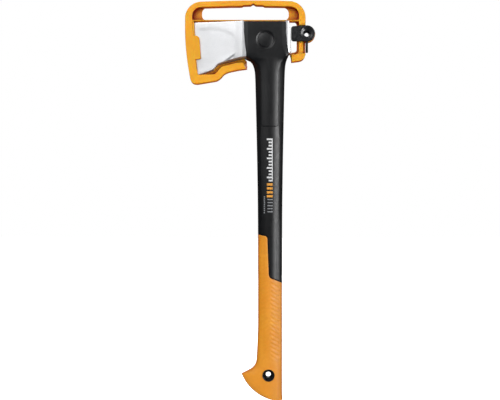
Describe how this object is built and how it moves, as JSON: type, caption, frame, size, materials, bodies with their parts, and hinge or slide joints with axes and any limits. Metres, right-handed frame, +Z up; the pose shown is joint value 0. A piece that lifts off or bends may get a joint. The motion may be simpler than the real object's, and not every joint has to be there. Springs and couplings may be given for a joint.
{
  "type": "splitting axe",
  "caption": "Splitting axe: forged steel wedge head moulded into a composite handle with a soft grip, with a clip-on plastic blade sheath that has a carry bar and a turning latch.",
  "frame": {"origin": "on the handle's axis, in the middle of its thickness, where a hand holds the grip", "axes": "+X from the cutting edge to the poll, +Y through the thickness, +Z up the handle to the head"},
  "size_m": [0.2142, 0.037, 0.6576],
  "materials": {
    "forged_steel": "bright satin, ground cheeks",
    "black_composite": "fine-textured satin",
    "soft_grip": "soft matt with fine ribs",
    "orange_plastic": "satin moulded",
    "gloss_black": "semi-gloss moulded"
  },
  "bodies": {
    "axe": {"axe_head": "forged_steel", "handle_shell": "black_composite", "lock_plug_front": "black_composite", "lock_plug_rear": "black_composite", "grip_sleeve": "soft_grip", "core_end_plug": "black_composite", "hanging_eyelet": "gloss_black"},
    "sheath": {"sheath_frame": "orange_plastic"},
    "latch": {"latch_lever": "gloss_black", "latch_ring": "gloss_black"}
  },
  "joints": [
    {"name": "sheath_off", "type": "slide", "parent": "axe", "child": "sheath", "axis": [0, -1, 0], "range_m": [0, 0.16]},
    {"name": "latch_turn", "type": "hinge", "parent": "sheath", "child": "latch", "pos_m": [0.0605, 0, 0.4634], "axis": [0, -1, 0], "range_deg": [0, 90]}
  ]
}
